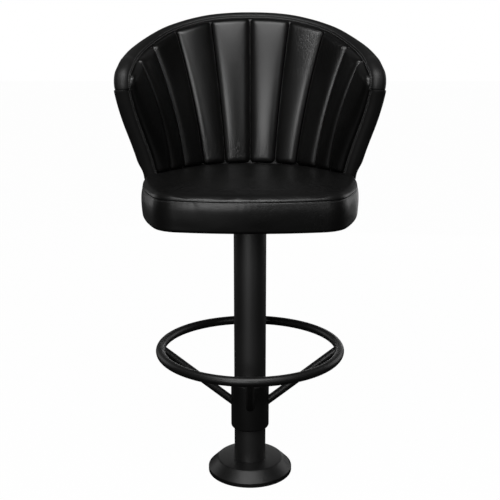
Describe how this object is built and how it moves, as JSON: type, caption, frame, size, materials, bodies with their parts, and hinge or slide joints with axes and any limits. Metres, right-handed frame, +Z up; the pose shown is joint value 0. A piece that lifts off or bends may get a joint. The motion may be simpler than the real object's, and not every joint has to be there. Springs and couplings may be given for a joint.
{
  "type": "swivel bar stool",
  "caption": "Bolt-down swivel bar stool with a foot ring on a round column and a padded bucket seat whose flared back has vertical channels and a rolled rim.",
  "frame": {"origin": "on the floor at the column's axis, the centre of the floor bolts", "axes": "+Z up along the column, -Y towards the front of the seat, +X to the sitter's left"},
  "size_m": [0.596, 0.5538, 1.096],
  "materials": {
    "powder_coat": "satin",
    "plate_steel": "satin",
    "bright_steel": "satin",
    "fastener_steel": "satin",
    "bush_plastic": "matte",
    "plywood": "matte",
    "padding": "matte",
    "lining": "matte",
    "upholstery": "satin"
  },
  "bodies": {
    "pedestal": {"floor_plate": "plate_steel", "column_tube": "powder_coat", "swivel_housing": "plate_steel", "upper_bush": "bush_plastic", "lower_bush": "bush_plastic", "lower_race": "bright_steel"},
    "floor_cover": {"flange_cover": "powder_coat"},
    "foot_rest": {"foot_ring": "powder_coat", "foot_collar": "powder_coat", "collar_set_screws": "fastener_steel", "strut_front": "powder_coat", "strut_right": "powder_coat", "strut_back": "powder_coat", "strut_left": "powder_coat"},
    "ball_cage": {"bearing_balls": "bright_steel", "bearing_cage": "bush_plastic"},
    "seat": {"swivel_spindle": "bright_steel", "retaining_washer": "bright_steel", "retaining_clip": "bright_steel", "upper_race": "bright_steel", "seat_plate": "plate_steel", "seat_bolts": "fastener_steel", "tee_nuts": "fastener_steel", "seat_board": "plywood", "seat_foam": "padding", "seat_band": "upholstery", "seat_top_cover": "upholstery", "dust_cover": "lining", "back_board": "plywood", "back_outer_pad": "padding", "back_outer_cover": "upholstery", "rim_band_top": "upholstery", "facing_left": "upholstery", "facing_right": "upholstery", "back_brackets": "plate_steel", "bracket_screws": "fastener_steel", "back_channel_01": "upholstery", "back_channel_02": "upholstery", "back_channel_03": "upholstery", "back_channel_04": "upholstery", "back_channel_05": "upholstery", "back_channel_06": "upholstery", "back_channel_07": "upholstery", "back_channel_08": "upholstery", "back_channel_09": "upholstery", "back_channel_10": "upholstery"}
  },
  "joints": [
    {"name": "seat_swivel", "type": "hinge", "parent": "pedestal", "child": "seat", "pos_m": [0, 0, 0.62], "axis": [0, 0, 1], "continuous": true},
    {"name": "cage_turn", "type": "hinge", "parent": "pedestal", "child": "ball_cage", "pos_m": [0, 0, 0.62], "axis": [0, 0, 1], "continuous": true},
    {"name": "foot_rest_height", "type": "slide", "parent": "pedestal", "child": "foot_rest", "axis": [0, 0, 1], "range_m": [-0.02, 0.15]},
    {"name": "cover_lift", "type": "slide", "parent": "pedestal", "child": "floor_cover", "axis": [0, 0, 1], "range_m": [0, 0.05]}
  ],
  "couplings": [
    {"joint": "cage_turn", "follows": "seat_swivel", "ratio": 0.5}
  ]
}
